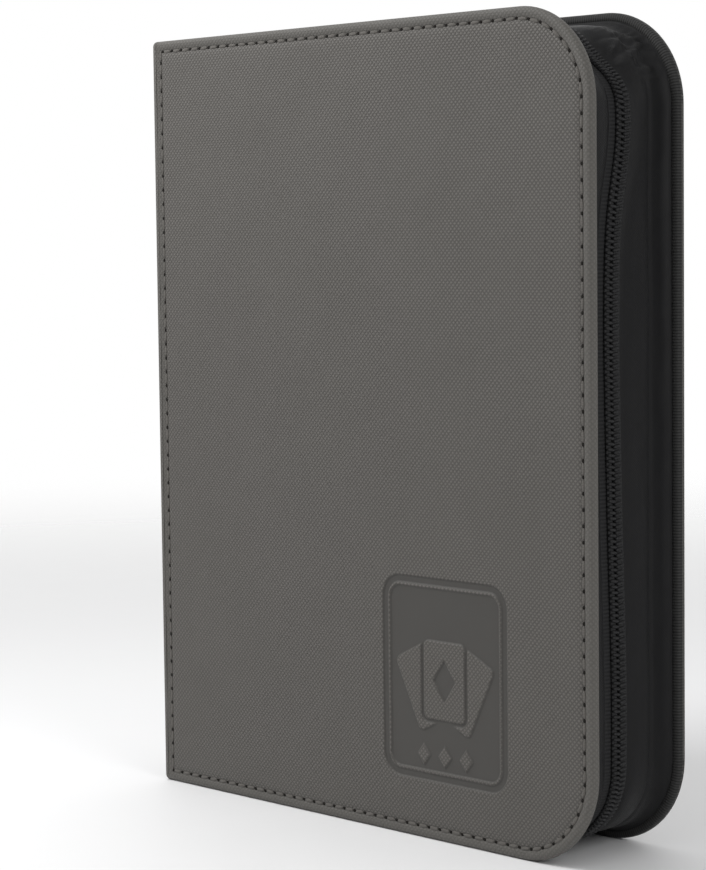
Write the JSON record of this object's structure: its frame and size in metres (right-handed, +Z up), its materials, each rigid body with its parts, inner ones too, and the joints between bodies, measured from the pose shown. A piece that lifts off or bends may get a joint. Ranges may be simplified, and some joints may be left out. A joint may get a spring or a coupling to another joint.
{
  "type": "trading card binder",
  "caption": "Zip-round hinged binder with padded leatherette covers, a soft gusset and fanning black leaves of side-loading card pockets.",
  "frame": {"origin": "middle of the closed binder's bottom edge, halfway between the two covers' outer faces", "axes": "+Z up along the spine, +X from the spine to the fore edge, +Y from the front cover to the back cover"},
  "size_m": [0.186, 0.041, 0.24],
  "materials": {
    "cover_skin": "embossed leatherette with a fine diamond grain, satin",
    "foam": "thin soft padding, matte",
    "board": "stiff pressed board, matte",
    "lining": "close woven lining, matte",
    "gusset": "smooth woven fabric, satin",
    "zip_tape": "woven zip tape, matte",
    "zip_coil": "spiral nylon coil, satin",
    "hinge_tape": "woven reinforcing tape, matte",
    "slider_metal": "black coated cast metal, satin",
    "binding": "soft welded plastic, matte",
    "leaf_film": "black sheet behind clear smooth film, glossy"
  },
  "bodies": {
    "back_cover": {"back_cover_skin": "cover_skin", "back_cover_foam": "foam", "back_cover_board": "board", "back_cover_lining": "lining", "back_gusset": "gusset", "back_zip_tape": "zip_tape", "back_zip_coil": "zip_coil", "zip_end_tab_top": "zip_tape", "zip_end_tab_bottom": "zip_tape", "zip_joined_coil_ends": "zip_coil", "zip_end_stops": "slider_metal"},
    "spine": {"spine_skin": "cover_skin", "spine_board": "board", "spine_lining": "lining", "front_hinge_tape": "hinge_tape", "back_hinge_tape": "hinge_tape", "page_binding": "binding"},
    "front_cover": {"front_cover_skin": "cover_skin", "front_cover_foam": "foam", "front_cover_board": "board", "front_cover_lining": "lining", "front_gusset": "gusset", "front_zip_tape": "zip_tape", "front_zip_coil": "zip_coil"},
    "zip_slider": {"zip_slider_body": "slider_metal", "zip_slider_crown": "slider_metal"},
    "pull_tab": {"zip_pull_tab": "slider_metal"},
    "leaf_01": {"leaf_01": "leaf_film"},
    "leaf_02": {"leaf_02": "leaf_film"},
    "leaf_03": {"leaf_03": "leaf_film"},
    "leaf_04": {"leaf_04": "leaf_film"},
    "leaf_05": {"leaf_05": "leaf_film"},
    "leaf_06": {"leaf_06": "leaf_film"},
    "leaf_07": {"leaf_07": "leaf_film"},
    "leaf_08": {"leaf_08": "leaf_film"},
    "leaf_09": {"leaf_09": "leaf_film"},
    "leaf_10": {"leaf_10": "leaf_film"},
    "leaf_11": {"leaf_11": "leaf_film"},
    "leaf_12": {"leaf_12": "leaf_film"},
    "leaf_13": {"leaf_13": "leaf_film"},
    "leaf_14": {"leaf_14": "leaf_film"},
    "leaf_15": {"leaf_15": "leaf_film"},
    "leaf_16": {"leaf_16": "leaf_film"},
    "leaf_17": {"leaf_17": "leaf_film"},
    "leaf_18": {"leaf_18": "leaf_film"},
    "leaf_19": {"leaf_19": "leaf_film"},
    "leaf_20": {"leaf_20": "leaf_film"}
  },
  "joints": [
    {"name": "spine_hinge", "type": "hinge", "parent": "back_cover", "child": "spine", "pos_m": [-0.0905, 0.018, 0], "axis": [0, 0, -1], "range_deg": [0, 90]},
    {"name": "front_cover_hinge", "type": "hinge", "parent": "spine", "child": "front_cover", "pos_m": [-0.0905, -0.018, 0], "axis": [0, 0, -1], "range_deg": [0, 90]},
    {"name": "zip_slide", "type": "slide", "parent": "back_cover", "child": "zip_slider", "axis": [1, 0, 0], "range_m": [0, 0.1435]},
    {"name": "pull_tab_pivot", "type": "hinge", "parent": "zip_slider", "child": "pull_tab", "pos_m": [-0.08145, -0.005, 0.23845], "axis": [0, -1, 0], "range_deg": [0, 150]},
    {"name": "leaf_01_turn", "type": "hinge", "parent": "spine", "child": "leaf_01", "pos_m": [-0.08535, -0.0152, 0], "axis": [0, 0, -1], "range_deg": [0, 76]},
    {"name": "leaf_02_turn", "type": "hinge", "parent": "spine", "child": "leaf_02", "pos_m": [-0.08535, -0.0136, 0], "axis": [0, 0, -1], "range_deg": [0, 68]},
    {"name": "leaf_03_turn", "type": "hinge", "parent": "spine", "child": "leaf_03", "pos_m": [-0.08535, -0.012, 0], "axis": [0, 0, -1], "range_deg": [0, 60]},
    {"name": "leaf_04_turn", "type": "hinge", "parent": "spine", "child": "leaf_04", "pos_m": [-0.08535, -0.0104, 0], "axis": [0, 0, -1], "range_deg": [0, 52]},
    {"name": "leaf_05_turn", "type": "hinge", "parent": "spine", "child": "leaf_05", "pos_m": [-0.08535, -0.0088, 0], "axis": [0, 0, -1], "range_deg": [0, 44]},
    {"name": "leaf_06_turn", "type": "hinge", "parent": "spine", "child": "leaf_06", "pos_m": [-0.08535, -0.0072, 0], "axis": [0, 0, -1], "range_deg": [0, 36]},
    {"name": "leaf_07_turn", "type": "hinge", "parent": "spine", "child": "leaf_07", "pos_m": [-0.08535, -0.0056, 0], "axis": [0, 0, -1], "range_deg": [0, 28]},
    {"name": "leaf_08_turn", "type": "hinge", "parent": "spine", "child": "leaf_08", "pos_m": [-0.08535, -0.004, 0], "axis": [0, 0, -1], "range_deg": [0, 20]},
    {"name": "leaf_09_turn", "type": "hinge", "parent": "spine", "child": "leaf_09", "pos_m": [-0.08535, -0.0024, 0], "axis": [0, 0, -1], "range_deg": [0, 12]},
    {"name": "leaf_10_turn", "type": "hinge", "parent": "spine", "child": "leaf_10", "pos_m": [-0.08535, -0.0008, 0], "axis": [0, 0, -1], "range_deg": [0, 4]},
    {"name": "leaf_11_turn", "type": "hinge", "parent": "spine", "child": "leaf_11", "pos_m": [-0.08535, 0.0008, 0], "axis": [0, 0, 1], "range_deg": [0, 4]},
    {"name": "leaf_12_turn", "type": "hinge", "parent": "spine", "child": "leaf_12", "pos_m": [-0.08535, 0.0024, 0], "axis": [0, 0, 1], "range_deg": [0, 12]},
    {"name": "leaf_13_turn", "type": "hinge", "parent": "spine", "child": "leaf_13", "pos_m": [-0.08535, 0.004, 0], "axis": [0, 0, 1], "range_deg": [0, 20]},
    {"name": "leaf_14_turn", "type": "hinge", "parent": "spine", "child": "leaf_14", "pos_m": [-0.08535, 0.0056, 0], "axis": [0, 0, 1], "range_deg": [0, 28]},
    {"name": "leaf_15_turn", "type": "hinge", "parent": "spine", "child": "leaf_15", "pos_m": [-0.08535, 0.0072, 0], "axis": [0, 0, 1], "range_deg": [0, 36]},
    {"name": "leaf_16_turn", "type": "hinge", "parent": "spine", "child": "leaf_16", "pos_m": [-0.08535, 0.0088, 0], "axis": [0, 0, 1], "range_deg": [0, 44]},
    {"name": "leaf_17_turn", "type": "hinge", "parent": "spine", "child": "leaf_17", "pos_m": [-0.08535, 0.0104, 0], "axis": [0, 0, 1], "range_deg": [0, 52]},
    {"name": "leaf_18_turn", "type": "hinge", "parent": "spine", "child": "leaf_18", "pos_m": [-0.08535, 0.012, 0], "axis": [0, 0, 1], "range_deg": [0, 60]},
    {"name": "leaf_19_turn", "type": "hinge", "parent": "spine", "child": "leaf_19", "pos_m": [-0.08535, 0.0136, 0], "axis": [0, 0, 1], "range_deg": [0, 68]},
    {"name": "leaf_20_turn", "type": "hinge", "parent": "spine", "child": "leaf_20", "pos_m": [-0.08535, 0.0152, 0], "axis": [0, 0, 1], "range_deg": [0, 76]}
  ],
  "couplings": [
    {"joint": "leaf_01_turn", "follows": "front_cover_hinge", "ratio": 0.84444},
    {"joint": "leaf_02_turn", "follows": "front_cover_hinge", "ratio": 0.75555},
    {"joint": "leaf_03_turn", "follows": "front_cover_hinge", "ratio": 0.66667},
    {"joint": "leaf_04_turn", "follows": "front_cover_hinge", "ratio": 0.57778},
    {"joint": "leaf_05_turn", "follows": "front_cover_hinge", "ratio": 0.48889},
    {"joint": "leaf_06_turn", "follows": "front_cover_hinge", "ratio": 0.4},
    {"joint": "leaf_07_turn", "follows": "front_cover_hinge", "ratio": 0.31111},
    {"joint": "leaf_08_turn", "follows": "front_cover_hinge", "ratio": 0.22222},
    {"joint": "leaf_09_turn", "follows": "front_cover_hinge", "ratio": 0.13333},
    {"joint": "leaf_10_turn", "follows": "front_cover_hinge", "ratio": 0.044444},
    {"joint": "leaf_11_turn", "follows": "spine_hinge", "ratio": 0.044444},
    {"joint": "leaf_12_turn", "follows": "spine_hinge", "ratio": 0.13333},
    {"joint": "leaf_13_turn", "follows": "spine_hinge", "ratio": 0.22222},
    {"joint": "leaf_14_turn", "follows": "spine_hinge", "ratio": 0.31111},
    {"joint": "leaf_15_turn", "follows": "spine_hinge", "ratio": 0.4},
    {"joint": "leaf_16_turn", "follows": "spine_hinge", "ratio": 0.48889},
    {"joint": "leaf_17_turn", "follows": "spine_hinge", "ratio": 0.57778},
    {"joint": "leaf_18_turn", "follows": "spine_hinge", "ratio": 0.66667},
    {"joint": "leaf_19_turn", "follows": "spine_hinge", "ratio": 0.75555},
    {"joint": "leaf_20_turn", "follows": "spine_hinge", "ratio": 0.84444}
  ]
}
